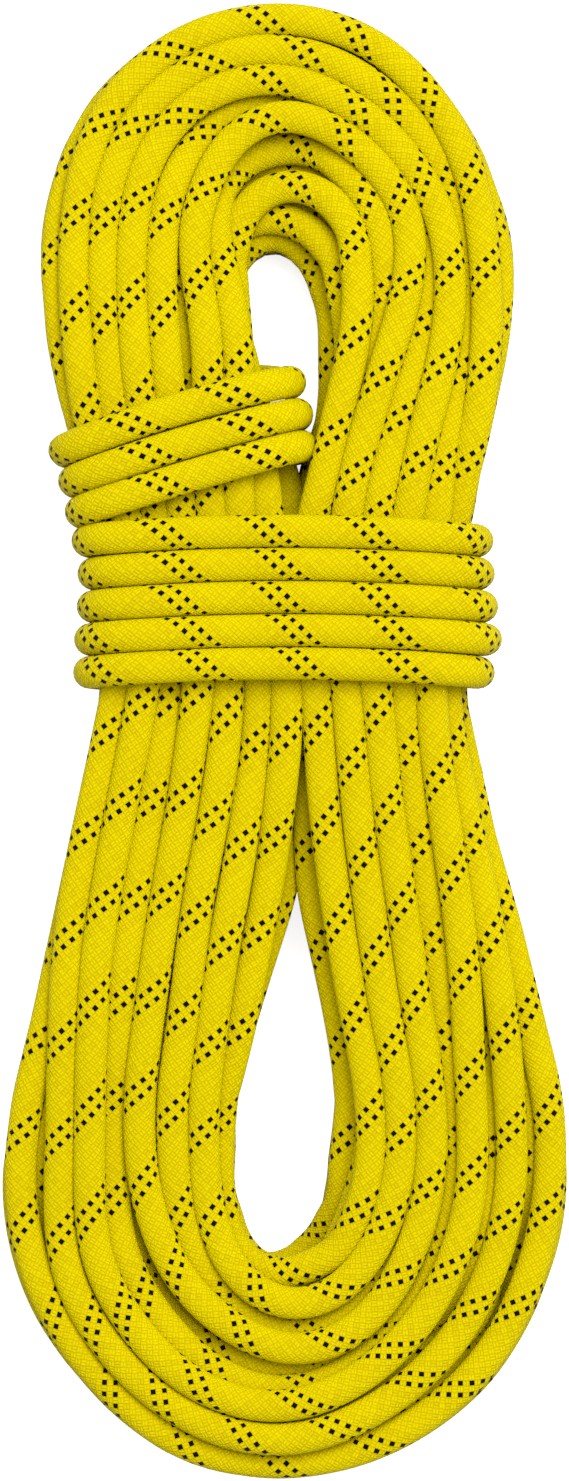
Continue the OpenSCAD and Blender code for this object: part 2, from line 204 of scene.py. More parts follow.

# Where the two black rows cross the top of a strand: about one
# crossing to a strand on each limb, as (x, y) at the hank's widest layer.
# Between two of them the sheath turns evenly.
ROW_CROSSINGS = (
    # upper loop: left limb, top, right limb
    (-71, 147), (-63, 161), (-56, 131), (-49, 136), (-38, 160), (-27, 142),
    (-7, 222), (-7, 196), (6, 174), (34, 199), (27, 169),
    (22, 124), (30, 112), (39, 141), (43, 129), (49, 116), (61, 117), (66, 116),
    # lower loop: left limb, right limb, bottom
    (-76, -90), (-68, -90), (-59, -81), (-50, -78), (-42, -79), (-32, -84), (-23, -95),
    (22, -84), (33, -93), (40, -81), (50, -90), (58, -102), (67, -91), (76, -83),
    (-39, -202), (-3, -225), (16, -172), (33, -189),
    # wraps: waist, left limb
    (-4, 64), (-2, 54), (-2, 44), (2, 34), (6, 25),
    (-48, 98), (-42, 86), (-38, 76),
)
CROSSING_REACH = 6.0            # from a crossing to the middle of its strand
CROSSING_DEPTH = 5.0            # a strand this far below the highest one there is hidden
CROSSING_STEP = 25.0            # two crossings on one strand lie at least this far apart
CROSSING_SLIP = 0.2             # neighbours disagree by no more than this part of a turn,
CROSSING_DRIFT = 400.0          # and by one turn more in this length of rope

# How the laid rope settles. A pull says how hard a point is drawn back each round to
# where it was laid, across the hank and up or down, from 0 to 1, where it stays.
HELD_PULL = (1.0, 1.0)
HELD_FROM = 0.9                 # a point pulled harder than this stays where it is laid
RISE_PULL = (0.5, 0.5)          # the start's rise to the laps
FRONT_PULL = (0.25, 0.2)        # the strands that show
HIDDEN_PULL = (0.05, 0.003)
LINE_STEP = 5.0                 # between two points of the line that settles
FINE_STEP = 1.25                # between two points of the smooth line drawn through them
SMOOTHINGS = 6                  # passes that smooth the laid line
LAID_EASES = 400                # passes that open its bends
ROUND_EASES = 3                 # passes that open bends after each round
PAIRS_EVERY = 12                # rounds from one search for neighbours to the next
PAIRS_MARGIN = 3.0              # how far past touching that search looks
SAME_TURN = 4                   # points this close along the rope aren't neighbours
SHARE = 0.45                    # a point's moves are shared out over this part of its neighbours
FULL_PULL_UNTIL = 0.6           # the part of the rounds with the full pull
LATE_PULL = 0.4                 # the part of the pull that is left after them


def at_y(table, y):
    """The value at height y of a table of (y, value)."""
    return float(np.interp(y, [row[0] for row in table], [row[1] for row in table]))


def side_x(side, y):
    """x at height y on the line through a side's two points."""
    a, b = side
    return a[0] + (b[0] - a[0]) * (y - a[1]) / (b[1] - a[1])


def wrap_end_z(y):
    """The height of the bundle's middle at y."""
    return SEAT + at_y(WRAP_DEPTH, y) / 2


def wrap_side(n, right):
    """Where wrap n passes the left side (right is 0) or the right side (1) of what it holds."""
    if n < WAIST_WRAPS:
        y = WRAP_LOW + PITCH * n
        x = WAIST_HALF * (-1, 1)[right]
    else:
        y = LIMB_LOW + LIMB_RISE * right + LIMB_PITCH[right] * (n - WAIST_WRAPS)
        x = side_x((LIMB_SIDE, LIMB_INSIDE)[right], y)
    out = WRAP_OUT[right][n]
    x = x + BED + out if right else x - BED - out
    return np.array([x, y, wrap_end_z(y)])


def half_round(w, h, t):
    """A point at t from 0 to 1 along half of a rounded box w wide and h high, as parts of w and h."""
    if t > 0.5:
        x, y = half_round(w, h, 1 - t)
        return 1 - x, y
    leg, arc = h - WRAP_BEND, math.pi / 2 * WRAP_BEND
    s = t * (2 * leg + 2 * arc + w - 2 * WRAP_BEND)
    if s < leg:
        return 0.0, s / h
    if s < leg + arc:
        a = (s - leg) / arc * math.pi / 2
        return WRAP_BEND * (1 - math.cos(a)) / w, (leg + WRAP_BEND * math.sin(a)) / h
    return (WRAP_BEND + s - leg - arc) / w, 1.0


def wound(t):
    """The wraps' middle line at t half turns: even ones pass in front, odd ones behind."""
    half = math.floor(t)
    n = half // 2
    front = half == 2 * n
    a, b = (wrap_side(n, 0), wrap_side(n, 1)) if front else (wrap_side(n, 1), wrap_side(n + 1, 0))
    mid_z = (a[2] + b[2]) / 2
    far = SEAT + at_y(WRAP_DEPTH, min(a[1], b[1])) + BED if front else ROPE_R
    arch = WRAP_ARCH if n < WAIST_WRAPS else LIMB_ARCH * (n - WAIST_WRAPS + 1)
    x, up = half_round(abs(b[0] - a[0]), abs(far - mid_z), t - half)
    p = a + (b - a) * x
    if front:
        p[1] += arch * 4 * x * (1 - x)
    return np.array([p[0], p[1], p[2] + (far - p[2]) * up])


def hidden_places(rows):
    """The hidden strands' places across and up the pile, with their (row, place).

    They go from the outer edge to the inner one, and a row further back counts as a little
    further in. In that order the limb's list and the round end's pair off one by one.
    """
    places = [
        (first + (last - first) * i / (count - 1), 1 - (row - 1) / (ROWS - 1), (row, i))
        for row, count, first, last in rows for i in range(count)
    ]
    return sorted(places, key=lambda place: place[0] + 0.02 * place[2][0])


def loop_tracks(loop, mid, round_rows):
    """Every lap's points round one loop, by its (row, place): x, y, z, then its pull and its bounds.

    The bounds are the loop's middle, the way out from it, and how far out the rope may lie.
    """
    limb, rounded = hidden_places(LIMB_ROWS), hidden_places(round_rows)
    tracks = {(1, k): [] for k in range(FRONT)}
    tracks.update({key: [] for _, _, key in limb})
    for kind, where, front, inner, drops in loop:
        side = math.copysign(1, front[0])
        if kind == "y":
            way, base, round_share = np.array([side, 0.0]), np.array([0.0, where]), 0.0
        else:
            turn = math.radians(where)
            way, base = np.array([math.cos(turn), math.sin(turn)]), np.array(mid)
            round_share = math.sin(turn) ** 2
        outside, inside = side * front[0], side * inner + ROPE_R
        slide = (np.array(mid) - base) @ way
        bounds = (*mid, *way, inside - slide, outside - slide)

        def lay(key, out, up, drop, pull):
            xy = base + way * out
            under, deep = at_y(UNDERSIDE, xy[1]), at_y(DEPTH, xy[1])
            z = under + ROPE_R + (deep - ROPE) * up - drop
            tracks[key].append((*xy, z, *pull, *bounds))

        for k in range(FRONT):
            lay((1, k), side * front[k], 1.0, drops[k], FRONT_PULL)
        for (p0, q0, key), (p1, q1, _) in zip(limb, rounded):
            p, q = p0 + (p1 - p0) * round_share, q0 + (q1 - q0) * round_share
            lay(key, outside + (inside - outside) * p, q, 0.0, HIDDEN_PULL)
    return {key: np.array(points) for key, points in tracks.items()}


UNBOUND = (0.0, 0.0, 0.0, 0.0, -1.0, 1.0)      # the bounds of a point that has none
HELD = (*HELD_PULL, *UNBOUND)   # a point that stays where it is laid


def rope_points():
    """The rope's points from end to end with their pulls and bounds, and the first point of each stretch."""
    lower = loop_tracks(LOWER_LOOP, LOWER_MID, LOWER_ROWS)
    upper = loop_tracks(UPPER_LOOP, UPPER_MID, UPPER_ROWS)
    turn = math.radians(START_TURN)
    end = [(START_TIP[0] + out * math.cos(turn), START_TIP[1] + out * math.sin(turn), END_Z)
           for out in END_POINTS]
    points = [(*p, *HELD) for p in (*end, *START_RUN)]
    starts = {"laps": len(points) - 1}
    points += [(*p, *RISE_PULL, *UNBOUND) for p in START_RISE]
    for lap, key in enumerate(LAP_ORDER):
        if lap:
            # halfway from the last loop to this one, where the waist wraps hide a cut
            starts[f"lap_{lap}"] = len(points) - 0.5
        first = 0 if lap else FIRST_ROW
        last = len(LOWER_LOOP) - 1 if lap == LAPS - 1 else len(LOWER_LOOP)
        points += list(lower[key][first:last])
        if lap < LAPS - 1:
            points += list(upper[key])
    starts["waist_wraps"] = len(points)
    points += [(*p, *HELD) for p in LEAD_IN]
    for i in range(-WRAP_STEPS // 2 + 1, (2 * (WAIST_WRAPS + LIMB_WRAPS) - 1) * WRAP_STEPS):
        if i == (2 * WAIST_WRAPS - 1) * WRAP_STEPS:
            starts["limb_wraps"] = len(points)
        points.append((*wound(i / WRAP_STEPS), *HELD))
    end = [(FINISH_TIP[0] + out, FINISH_TIP[1], END_Z) for out in reversed(END_POINTS)]
    points += [(*p, *HELD) for p in (wrap_side(WAIST_WRAPS + LIMB_WRAPS - 1, 1), *FINISH_RUN, *end)]
    return np.array(points, float), starts


def smooth_line(points, step):
    """Rows at even steps along a smooth curve through the points, and each point's distance along it."""
    d = np.r_[0, np.cumsum(np.linalg.norm(np.diff(points[:, :3], axis=0), axis=1))]
    slope = np.gradient(points[:, :3], d, axis=0)
    pieces, marks = [], [0]
    for i in range(len(points) - 1):
        h = d[i + 1] - d[i]
        t = np.linspace(0, 1, max(2, int(h)), endpoint=False)[:, None]
        place = ((2 * t**3 - 3 * t**2 + 1) * points[i, :3] + (t**3 - 2 * t**2 + t) * h * slope[i]
                 + (3 * t**2 - 2 * t**3) * points[i + 1, :3] + (t**3 - t**2) * h * slope[i + 1])
        pieces.append(np.hstack([place, points[i, 3:] * (1 - t) + points[i + 1, 3:] * t]))
        marks.append(marks[-1] + len(t))
    rows = np.concatenate(pieces + [points[-1:]])
    s = np.r_[0, np.cumsum(np.linalg.norm(np.diff(rows[:, :3], axis=0), axis=1))]
    even = np.linspace(0, s[-1], int(round(s[-1] / step)) + 1)
    return np.stack([np.interp(even, s, column) for column in rows.T], 1), s[marks]


def blur(values, reach):
    """The running mean over 2*reach + 1 rows."""
    width = 2 * reach + 1
    padded = np.concatenate([np.repeat(values[:1], reach, 0), values, np.repeat(values[-1:], reach, 0)])
    total = np.cumsum(np.concatenate([np.zeros((1, values.shape[1])), padded]), 0)
    return (total[width:] - total[:-width]) / width


def near_pairs(x, reach):
    """Pairs of points that lie in neighbouring cells of that reach."""
    cell = np.floor(x / reach).astype(np.int64)
    cell -= cell.min(0) - 1
    size = cell.max(0) + 2
    key = (cell[:, 0] * size[1] + cell[:, 1]) * size[2] + cell[:, 2]
    order = np.argsort(key, kind="stable")
    ranked = key[order]
    first, second = [], []
    steps = [(a, b, c) for a in (-1, 0, 1) for b in (-1, 0, 1) for c in (-1, 0, 1)]
    # half of the cells around, and the cell itself, which is the middle one
    for step in steps[len(steps) // 2:]:
        wanted = key + (step[0] * size[1] + step[1]) * size[2] + step[2]
        low, high = np.searchsorted(ranked, wanted, "left"), np.searchsorted(ranked, wanted, "right")
        count = high - low
        i = np.repeat(np.arange(len(x)), count)
        j = order[np.arange(len(i)) + np.repeat(low - np.r_[0, np.cumsum(count)[:-1]], count)]
        if step == (0, 0, 0):
            i, j = i[i < j], j[i < j]
        first.append(i)
        second.append(j)
    return np.concatenate(first), np.concatenate(second)


def ease_bends(x, free):
    """Opens the bends tighter than TIGHTEST by half of what they lack, judged over two points each way."""
    lack = np.zeros_like(x)
    lack[2:-2] = 0.5 * (x[:-4] + x[4:]) - x[2:-2]
    rise = np.linalg.norm(lack, axis=1, keepdims=True)
    reach = np.linalg.norm(x[4:] - x[:-4], axis=1) / 2
    allowed = np.zeros_like(rise)
    allowed[2:-2, 0] = reach * reach / (2 * TIGHTEST)
    lack *= 0.5 * np.maximum(0, 1 - allowed / np.maximum(rise, 1e-6))
    moved = lack.copy()
    moved[:-4] -= 0.5 * lack[2:-2]
    moved[4:] -= 0.5 * lack[2:-2]
    return x + np.where(free[:, None], moved, 0)


def settle(rows, rounds):
    """Lets the laid rope settle: its turns push each other apart and keep near where they were laid."""
    x = rows[:, :3].copy()
    pull = rows[:, 3:5]
    middle, way, low, high = rows[:, 5:7], rows[:, 7:9], rows[:, 9], rows[:, 10]
    length = np.linalg.norm(way, axis=1, keepdims=True)
    way = way / np.maximum(length, 1e-6)
    held = pull[:, 0] > HELD_FROM
    free = ~held
    bound = free & (length[:, 0] > 0.5)
    for _ in range(SMOOTHINGS):
        x = np.where(free[:, None], 0.5 * x + 0.5 * blur(x, 2), x)
    for _ in range(LAID_EASES):
        x = ease_bends(x, free)
    laid = x.copy()
    count = len(x)
    for turn in range(rounds):
        if turn % PAIRS_EVERY == 0:
            i, j = near_pairs(x, PRESSED + PAIRS_MARGIN)
            apart = np.abs(i - j) > SAME_TURN
            i, j = i[apart], j[apart]
        gap = x[j] - x[i]
        reach = np.linalg.norm(gap, axis=1) + 1e-9
        hit = reach < PRESSED
        a, b = i[hit], j[hit]
        push = (0.5 * (PRESSED - reach[hit]) / reach[hit])[:, None] * gap[hit]
        give_a = np.where(held[b], 2.0, 1.0) * free[a]
        give_b = np.where(held[a], 2.0, 1.0) * free[b]
        share = np.maximum(1, SHARE * (np.bincount(a, minlength=count) + np.bincount(b, minlength=count)))
        move = np.stack([
            np.bincount(b, push[:, k] * give_b, count) - np.bincount(a, push[:, k] * give_a, count)
            for k in range(3)
        ], 1)
        drift = x + move / share[:, None] - laid
        ease = 1.0 if turn < rounds * FULL_PULL_UNTIL else LATE_PULL
        drift[:, :2] *= 1 - ease * pull[:, :1]
        drift[:, 2] *= 1 - ease * pull[:, 1]
        drift = np.where(free[:, None], 0.6 * drift + 0.4 * blur(drift, 2), 0)
        x = laid + drift
        out = ((x[:, :2] - middle) * way).sum(1)
        over = np.where(bound, np.clip(out, low, high) - out, 0)
        x[:, :2] += over[:, None] * way
        x[:, 2] = np.where(free, np.maximum(x[:, 2], ROPE_R), x[:, 2])
        for _ in range(ROUND_EASES):
            x = ease_bends(x, free)
    left = PRESSED - reach[hit]
    print(f"settled: {len(left)} touching pairs, mean overlap {left.mean():.2f} mm, "
          f"over 1 mm {int((left > 1).sum())}, worst {left.max():.2f} mm")
    return x


def sheath_turn(line, side, up, along, lead, rows_mid, eye_height):
    """How far the sheath is turned about the rope at each ring, as parts of a turn.

    It brings the middle of the black rows, rows_mid round the sheath, to the crossings.
    """
    seen = line[:, :2] * (eye_height / (eye_height - line[:, 2:]))
    want = along / lead + rows_mid - np.arctan2(up[:, 2], side[:, 2]) / (2 * math.pi)
    marked = []
    for crossing in ROW_CROSSINGS:
        away = np.linalg.norm(seen - crossing, axis=1)
        near = away < CROSSING_REACH
        if near.any():
            near &= line[:, 2] > line[near, 2].max() - CROSSING_DEPTH
            marked.append(int(np.argmin(np.where(near, away, np.inf))))
    rings, turns = [], []
    for ring in sorted(marked):
        turn = want[ring]
        if rings:
            gap = along[ring] - along[rings[-1]]
            turn += round(turns[-1] - turn)
            if gap < CROSSING_STEP or abs(turn - turns[-1]) > CROSSING_SLIP + gap / CROSSING_DRIFT:
                continue
        rings.append(ring)
        turns.append(turn)
    print(f"tracer crossings: {len(rings)} of {len(ROW_CROSSINGS)} held")
    return np.interp(np.arange(len(line)), rings, turns)


# ---------------------------------------------------------------------------
# Settings
# ---------------------------------------------------------------------------
def metres(name, default, description):
    """A setting for a length."""
    return bpy.props.FloatProperty(name=name, default=default, description=description, unit="LENGTH")


def hexes(name, default, description):
    """A setting for a colour, as sRGB hex."""
    return bpy.props.StringProperty(name=name, default=default, description=description)


class HankSizes(bpy.types.PropertyGroup):
    """Sizes of the rope and its sheath"""
    ring_step: metres("Ring step", 0.0025, "Distance between the rope's rings")
    sides: bpy.props.IntProperty(
        name="Sides", description="Faces round the rope", default=20, min=8)
    lead: metres("Braid lead", 0.0305, "Length in which a sheath yarn goes once round")
    pairs: bpy.props.IntProperty(
        name="Yarn pairs", description="Pairs of sheath yarns that run each way round", default=12, min=6)
    yarn_height: metres("Yarn height", 0.00035, "How far a yarn stands out of the braid")
    rounds: bpy.props.IntProperty(
        name="Settling rounds", description="Rounds in which the turns push each other apart", default=420)


class HankColours(bpy.types.PropertyGroup):
    """Colours of the rope's pieces as sRGB hex, and the darker ones of their grain; the sheath's darker one
    is also painted shade where its yarns dive
    """
    sheath: hexes("Sheath", "EBDC00", "Dyed polyamide yarns")
    # painted shade: the sheath's yellow darkened where its yarns dive between neighbours, which is also the
    # dark end of its random dye tone
    painted_shade_and_dye: hexes("Between yarns", "BEA200", "The same yarns where they dive")
    tracer: hexes("Tracer", "17120E", "Two black yarn pairs")
    tracer_dark: hexes("Tracer, dark", "0B0806", "Between the black filaments")
    core: hexes("Core", "ECEAE2", "Undyed polyamide strands")
    core_dark: hexes("Core, dark", "CFCABB", "Between the core's filaments")
    tape: hexes("Marker tape", "3D63A8", "Thin plain film")
    tape_dark: hexes("Marker tape, dark", "34569A", "The film's rolling lines")
    sleeve: hexes("End sleeve", "1C1C1D", "Shrunk polyolefin tube")
    sleeve_dark: hexes("End sleeve, dark", "131314", "The tube's mottling")
    tip: hexes("Fused tip", "6E5A12", "Melted polyamide")
    tip_dark: hexes("Fused tip, dark", "2A2008", "Burnt spots of the melt")
    floor: hexes("Floor", "FFFFFF", "White studio sweep")


class HankStudio(bpy.types.PropertyGroup):
    """Camera and light"""
    camera_distance: metres("Camera distance", 4.5, "From the lens to the hank's widest layer")
    camera_lens: bpy.props.FloatProperty(
        name="Lens", description="Focal length, which fills the frame with the hank",
        default=355.5, unit="CAMERA")
    aim_x: metres("Aim x", -0.0001, "Where the camera looks, across")
    aim_y: metres("Aim y", 0.0001, "Where the camera looks, along the hank")
    aim_z: metres("Aim z", 0.035, "Height of the layer that fills the frame")
    key_power: bpy.props.FloatProperty(
        name="Key light", description="Soft light from the upper right", default=140.0, unit="POWER")
    key_size: metres("Key light's size", 2.4, "Side of the square light")
    key_place: bpy.props.FloatVectorProperty(
        name="Key light's place", description="It is aimed at the hank", default=(0.6, 1.2, 3.9),
        subtype="TRANSLATION")
    sky: bpy.props.FloatProperty(
        name="Room light", description="Even light from all round", default=0.55)


# ---------------------------------------------------------------------------
# Small helpers
# ---------------------------------------------------------------------------
def linear(text):
    """An sRGB hex value as a linear colour."""
    parts = [int(text[i:i + 2], 16) / 255 for i in (0, 2, 4)]
    return (*[c / 12.92 if c <= 0.04045 else ((c + 0.055) / 1.055) ** 2.4 for c in parts], 1.0)


def add(tree, kind, inputs=None, **settings):
    """Adds a node, sets it, and links or sets its inputs: a socket is linked and anything else is a value."""
    node = tree.nodes.new(kind)
    for name, value in settings.items():
        setattr(node, name, value)
    for name, value in (inputs or {}).items():
        if isinstance(value, bpy.types.NodeSocket):
            tree.links.new(value, node.inputs[name])
        else:
            node.inputs[name].default_value = value
    return node


def new_material(name):
    """An empty material and its node tree."""
    material = bpy.data.materials.new(name)
    material.use_nodes = True
    material.node_tree.nodes.clear()
    return material, material.node_tree


def pattern(tree, kind, scale, inputs=None, **settings):
    """A pattern in the piece's own space. A noise of scale 400 has patches 1/400 m wide."""
    place = add(tree, "ShaderNodeTexCoord")
    return add(tree, kind, {"Vector": place.outputs["Object"], "Scale": scale, **(inputs or {})}, **settings)


def between(tree, share, *ends):
    """A colour that mixes two, each a hex or a socket: the second one's share is from 0 to 1."""
    low, high = [linear(end) if isinstance(end, str) else end for end in ends]
    return add(tree, "ShaderNodeMix", {0: share, 6: low, 7: high}, data_type="RGBA").outputs[2]


def bumped(tree, height, strength, distance):
    """The surface's direction with that height pressed into it."""
    bump = add(tree, "ShaderNodeBump", {"Height": height, "Strength": strength, "Distance": distance})
    return bump.outputs[0]


def rays_of(tree, *kinds):
    """1 for rays of these kinds and 0 for all others."""
    path = add(tree, "ShaderNodeLightPath")
    found = path.outputs[kinds[0]]
    for kind in kinds[1:]:
        found = add(tree, "ShaderNodeMath", {0: found, 1: path.outputs[kind]}, operation="MAXIMUM").outputs[0]
    return found


def coated(material, **inputs):
    """The material, finished with a surface of these settings, whose names have _ for a space."""
    inputs = {name.replace("_", " "): value for name, value in inputs.items()}
    shader = add(material.node_tree, "ShaderNodeBsdfPrincipled", inputs)
    add(material.node_tree, "ShaderNodeOutputMaterial", {0: shader.outputs[0]})
    return material


POLYAMIDE_IOR = 1.53


def braided_polyamide(sizes, colours):
    """Braided polyamide sheath: 12 yarn pairs each way in a plain braid, two of them black.

    The yarns' round backs and the dips where they dive give the eye a fine diagonal grain
    with hardly any gloss; the dips are also painted darker, as painted shade, and the black pairs show as two
    rows of small checks.
    """
    material, tree = new_material("braided_polyamide_sheath")
    uv = add(tree, "ShaderNodeUVMap", uv_map="Rope")
    part = add(tree, "ShaderNodeSeparateXYZ", {0: uv.outputs[0]})
    u, v = part.outputs[0], part.outputs[1]

    def maths(operation, a, b=0.0, c=0.0, clamp=False):
        node = add(tree, "ShaderNodeMath", {0: a, 1: b, 2: c}, operation=operation, use_clamp=clamp)
        return node.outputs[0]

    # the braid's cells: a row of them runs one way round the rope, and a column the other way
    pairs = float(sizes.pairs)
    one_way = maths("MULTIPLY", maths("SUBTRACT", u, v), pairs)
    other_way = maths("MULTIPLY", maths("ADD", u, v), pairs)
    row, column = maths("FLOOR", one_way), maths("FLOOR", other_way)
    row_in, column_in = maths("FRACT", one_way), maths("FRACT", other_way)
    under = maths("FLOORED_MODULO", maths("ADD", row, column), 2.0)
    over = maths("SUBTRACT", 1.0, under)
    across = maths("MULTIPLY_ADD", maths("SUBTRACT", column_in, row_in), under, row_in)
    along = maths("MULTIPLY_ADD", maths("SUBTRACT", row_in, column_in), under, column_in)

    # two yarns side by side in a pair, each round, that dive at both ends of the float
    yarn_across = maths("FRACT", maths("MULTIPLY", across, 2.0))
    back = maths("POWER", maths("SINE", maths("MULTIPLY", yarn_across, math.pi)), 0.5)
    dive = maths("POWER", maths("SINE", maths("MULTIPLY", along, math.pi)), 0.45)
    height = maths("MULTIPLY", back, dive)

    # filaments: fine streaks along each yarn, about 0.07 mm apart, and unlike in each cell
    streak_place = add(tree, "ShaderNodeCombineXYZ", {
        0: maths("MULTIPLY", maths("MULTIPLY_ADD", under, 31.7, across), 26.0),
        1: maths("MULTIPLY", along, 1.6),
        2: maths("ADD", row, maths("MULTIPLY", column, 7.3))})
    streaks = add(tree, "ShaderNodeTexNoise", {
        "Vector": streak_place.outputs[0], "Scale": 1.0, "Detail": 1.0})

    # each yarn pair took the dye a little differently, and so did patches about 36 mm wide
    pair = maths("FLOORED_MODULO", maths("MULTIPLY_ADD", maths("SUBTRACT", column, row), under, row), pairs)
    pair_place = add(tree, "ShaderNodeCombineXYZ", {0: maths("MULTIPLY_ADD", under, 64.0, pair)})
    dye = add(tree, "ShaderNodeTexWhiteNoise", {"Vector": pair_place.outputs[0]}, noise_dimensions="3D")
    patches = pattern(tree, "ShaderNodeTexNoise", 28.0, {"Detail": 2.0})
    lift = maths("MULTIPLY", patches.outputs[0], 0.15)
    lift = maths("ADD", maths("MULTIPLY", dye.outputs[0], 0.24), lift)
    lift = maths("ADD", maths("MULTIPLY", streaks.outputs[0], 0.30), lift)
    # the yellow is painted darker where the yarns dive, a painted shade in the braid's dips, and varies at
    # random with the dye, patches and streaks
    shade_and_dye_tone = maths("MULTIPLY_ADD", height, 0.56, lift, True)
    yellow = between(tree, shade_and_dye_tone, colours.painted_shade_and_dye, colours.sheath)

    # the black pairs are the first and third of one way; where they float on top, the
    # neighbours cover a float's edges, so its black shows a little smaller than its cell
    black_row = maths("FLOORED_MODULO", row, pairs)
    is_black = maths("ADD", maths("COMPARE", black_row, 0.0, 0.5), maths("COMPARE", black_row, 2.0, 0.5))
    inside = maths("MULTIPLY", maths("COMPARE", across, 0.5, 0.42), maths("COMPARE", along, 0.5, 0.43))
    black = maths("MULTIPLY", maths("MULTIPLY", is_black, over), inside)
    worn = maths("MULTIPLY_ADD", streaks.outputs[0], 0.5, 0.5)
    soot = between(tree, worn, colours.tracer_dark, colours.tracer)
    relief = maths("MULTIPLY_ADD", streaks.outputs[0], 0.12, height)
    return coated(
        material, Base_Color=between(tree, black, yellow, soot),
        Roughness=maths("MULTIPLY_ADD", streaks.outputs[0], 0.2, 0.48), Diffuse_Roughness=1.0,
        Normal=bumped(tree, relief, 1.0, sizes.yarn_height), IOR=POLYAMIDE_IOR, Specular_IOR_Level=0.03)


def twisted_polyamide(colours):
    """Undyed polyamide core strands, twisted: a matt off-white with a fine slanting grain."""
    material, tree = new_material("twisted_polyamide_core")
    # a wave's bands lie 2 pi / 20 apart at a scale of 1: here 1.2 mm, a plied yarn's width
    grain = pattern(tree, "ShaderNodeTexWave", 260.0, {"Distortion": 1.5, "Detail": 2.0},
                    bands_direction="DIAGONAL").outputs["Fac"]
    return coated(material, Base_Color=between(tree, grain, colours.core_dark, colours.core), Roughness=0.7,
                  Normal=bumped(tree, grain, 0.6, 0.0002), IOR=POLYAMIDE_IOR, Sheen_Weight=0.1)


def film_tape(colours):
    """Thin polyester marker film: smooth and slightly glossy, with faint rolling lines."""
    material, tree = new_material("polyester_film_tape")
    lines = pattern(tree, "ShaderNodeTexNoise", 400.0, {"Detail": 2.0}).outputs[0]
    return coated(material, Base_Color=between(tree, lines, colours.tape_dark, colours.tape),
                  Roughness=0.35, IOR=1.57)


def shrunk_sleeve(colours):
    """Shrunk polyolefin sleeve: satin black, with the braid beneath pressed faintly through it."""
    material, tree = new_material("shrunk_polyolefin_sleeve")
    braid = pattern(tree, "ShaderNodeTexVoronoi", 420.0).outputs[0]
    fine = pattern(tree, "ShaderNodeTexNoise", 900.0, {"Detail": 2.0}).outputs[0]
    rough = add(tree, "ShaderNodeMapRange", {0: fine, 3: 0.38, 4: 0.52})
    return coated(material, Base_Color=between(tree, fine, colours.sleeve_dark, colours.sleeve),
                  Roughness=rough.outputs[0], Normal=bumped(tree, braid, 0.35, 0.0002), IOR=1.5)


def melted_polyamide(colours):
    """Polyamide melted at the cut: hard, dark olive, glossy, with small burnt spots and ripples."""
    material, tree = new_material("melted_polyamide_tip")
    ripples = pattern(tree, "ShaderNodeTexNoise", 500.0, {"Detail": 3.0}).outputs[0]
    return coated(material, Base_Color=between(tree, ripples, colours.tip_dark, colours.tip), Roughness=0.3,
                  Normal=bumped(tree, ripples, 0.5, 0.0004), IOR=POLYAMIDE_IOR)


def studio_white(colours):
    """Matt white sweep: the camera and reflections see it as white, and it keeps the hank's shadow."""
    material, tree = new_material("matt_white_sweep")
    seen = rays_of(tree, "Is Camera Ray", "Is Glossy Ray", "Is Transmission Ray")
    matt = add(tree, "ShaderNodeBsdfDiffuse", {"Color": linear(colours.floor)})
    glow = add(tree, "ShaderNodeEmission", {"Color": linear(colours.floor), "Strength": 0.8})
    both = add(tree, "ShaderNodeAddShader", {0: matt.outputs[0], 1: glow.outputs[0]})
    dim = add(tree, "ShaderNodeBsdfDiffuse", {"Color": (0.3, 0.3, 0.3, 1)})
    mix = add(tree, "ShaderNodeMixShader", {0: seen, 1: dim.outputs[0], 2: both.outputs[0]})
    add(tree, "ShaderNodeOutputMaterial", {0: mix.outputs[0]})
    return material


# ---------------------------------------------------------------------------
# The rope as tubes
# ---------------------------------------------------------------------------
STRIP_SLACK = 1.15              # keeps a strip of the bake map a little wider than it is due
STRIP_GAP = 0.06                # the part of a strip left free at each side
LAP_NODES = ("upper_loop_laps", "left_waist_laps", "right_waist_laps", "lower_loop_laps")
LAPS_PER_PIECE = 3
ROPE_PIECES = []


def carried_frames(line):
    """Two directions across the rope at each ring, carried along without twisting."""
    ahead = np.gradient(line, axis=0)
    ahead /= np.linalg.norm(ahead, axis=1, keepdims=True)
    side = np.empty_like(line)
    start = np.cross(ahead[0], [0.0, 0.0, 1.0])
    side[0] = start / np.linalg.norm(start)
    for i in range(1, len(line)):
        s = side[i - 1] - ahead[i] * (side[i - 1] @ ahead[i])
        side[i] = s / np.linalg.norm(s)
    return side, np.cross(ahead, side)


